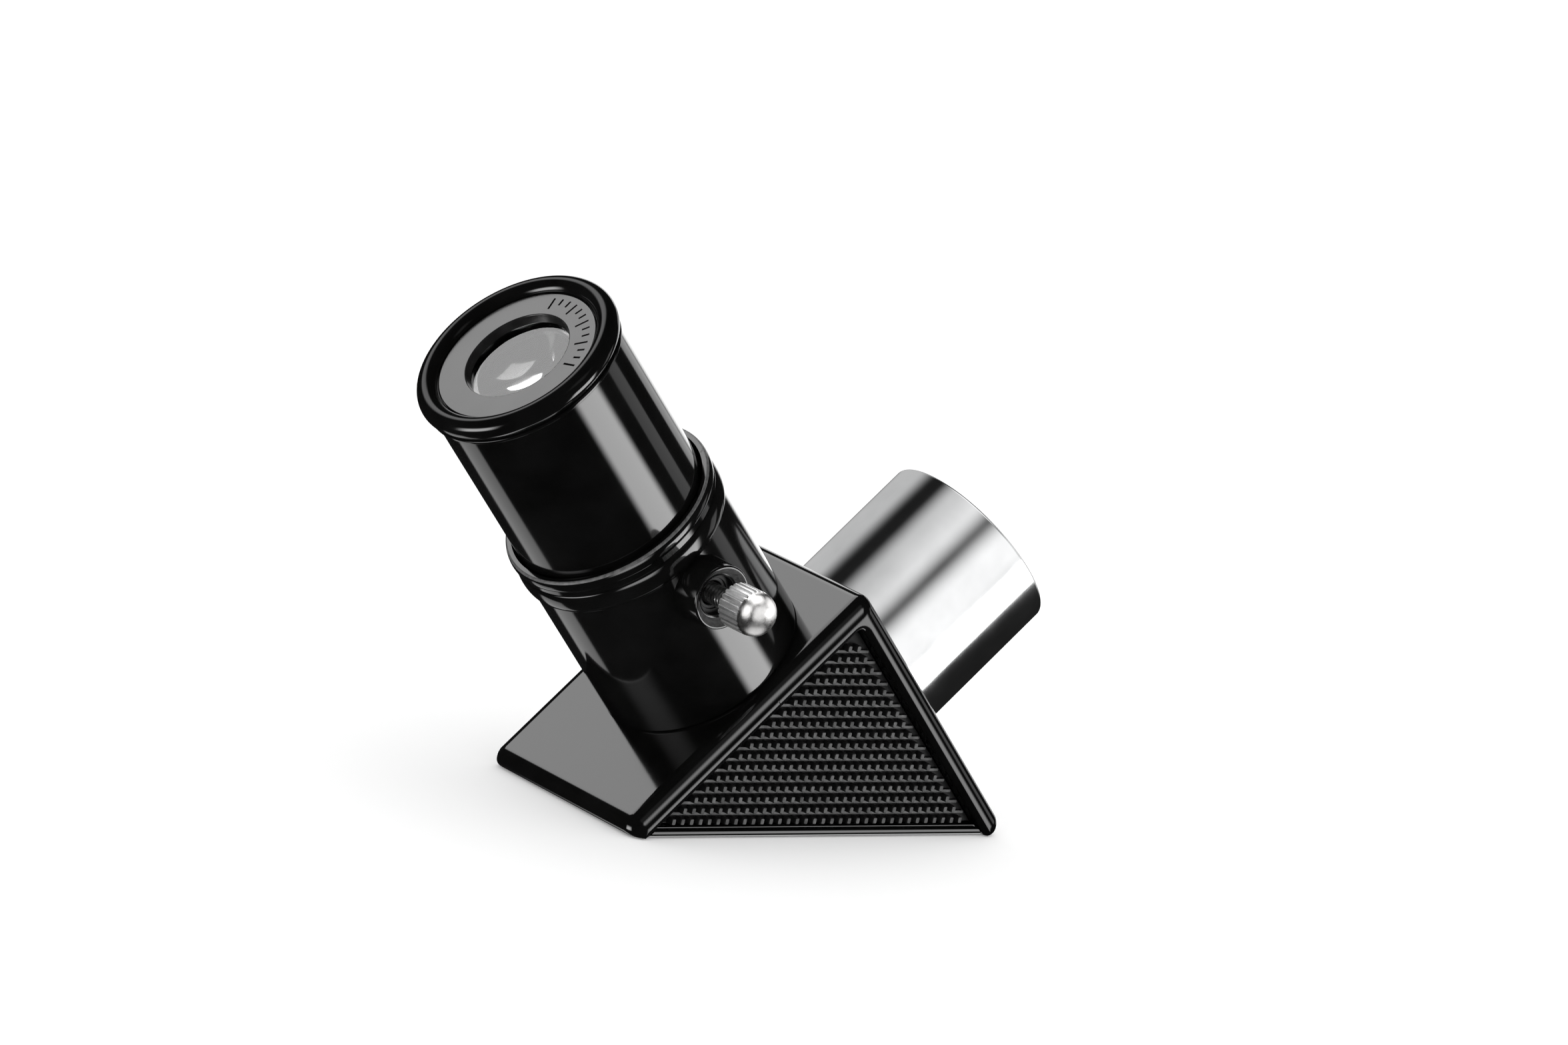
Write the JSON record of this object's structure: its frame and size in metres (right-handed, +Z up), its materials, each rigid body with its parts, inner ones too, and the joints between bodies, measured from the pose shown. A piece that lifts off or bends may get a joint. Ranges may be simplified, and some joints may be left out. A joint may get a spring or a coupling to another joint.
{
  "type": "star diagonal",
  "caption": "Right-angle mirror diagonal for a small telescope: ribbed wedge housing, chrome nosepiece, eyepiece holder with thumb screw, and a fitted eyepiece that draws out.",
  "frame": {"origin": "centre of the rear cover's outer flat face, which is the face the part stands on", "axes": "+Z up from the rear cover to the prism's right-angled edge; +X towards the telescope side, so the eyepiece side is -X; +Y away from the thumb screw, which points to -Y"},
  "size_m": [0.1214, 0.0521, 0.0836],
  "materials": {
    "gloss_black_plastic": "polished moulded black ABS",
    "matte_grip_plastic": "matte black, studded with a square grid of small pins",
    "satin_cap_plastic": "satin black",
    "inner_black_plastic": "matte black",
    "black_screw_steel": "black oxide steel",
    "silvered_mirror": "first-surface aluminised glass",
    "foam_pad": "closed-cell foam",
    "nickel_plate": "bright nickel plate on brass",
    "polished_chrome": "polished chrome plate on brass",
    "lens_glass": "uncoated polished glass"
  },
  "bodies": {
    "diagonal": {"prism_housing": "gloss_black_plastic", "rear_cover": "gloss_black_plastic", "rear_cover_screw_1": "black_screw_steel", "rear_cover_screw_2": "black_screw_steel", "rear_cover_screw_3": "black_screw_steel", "rear_cover_screw_4": "black_screw_steel", "mirror": "silvered_mirror", "mirror_pad": "foam_pad", "near_grip_panel": "matte_grip_plastic", "far_grip_panel": "matte_grip_plastic", "eyepiece_holder": "gloss_black_plastic", "nosepiece_barrel": "polished_chrome"},
    "clamp_stud": {"thumb_screw_stud": "nickel_plate"},
    "clamp_knob": {"thumb_screw_knob": "nickel_plate"},
    "eyepiece": {"eyepiece_barrel": "gloss_black_plastic", "eyepiece_cap": "satin_cap_plastic", "eye_lens": "lens_glass", "upper_lens_spacer": "inner_black_plastic", "field_stop": "inner_black_plastic", "lower_lens_spacer": "inner_black_plastic", "field_lens": "lens_glass", "field_lens_retainer": "inner_black_plastic"}
  },
  "joints": [
    {"name": "clamp_travel", "type": "slide", "parent": "diagonal", "child": "clamp_stud", "axis": [0, -1, 0], "range_m": [0, 0.0021]},
    {"name": "clamp_turn", "type": "hinge", "parent": "clamp_stud", "child": "clamp_knob", "pos_m": [-0.03154, -0.0251, 0.03977], "axis": [0, -1, 0], "range_deg": [0, 1080]},
    {"name": "eyepiece_draw", "type": "slide", "parent": "diagonal", "child": "eyepiece", "axis": [-0.7071, 0, 0.7071], "range_m": [0, 0.022]}
  ],
  "couplings": [
    {"joint": "clamp_turn", "follows": "clamp_travel", "rad_per_m": 8975.9}
  ]
}
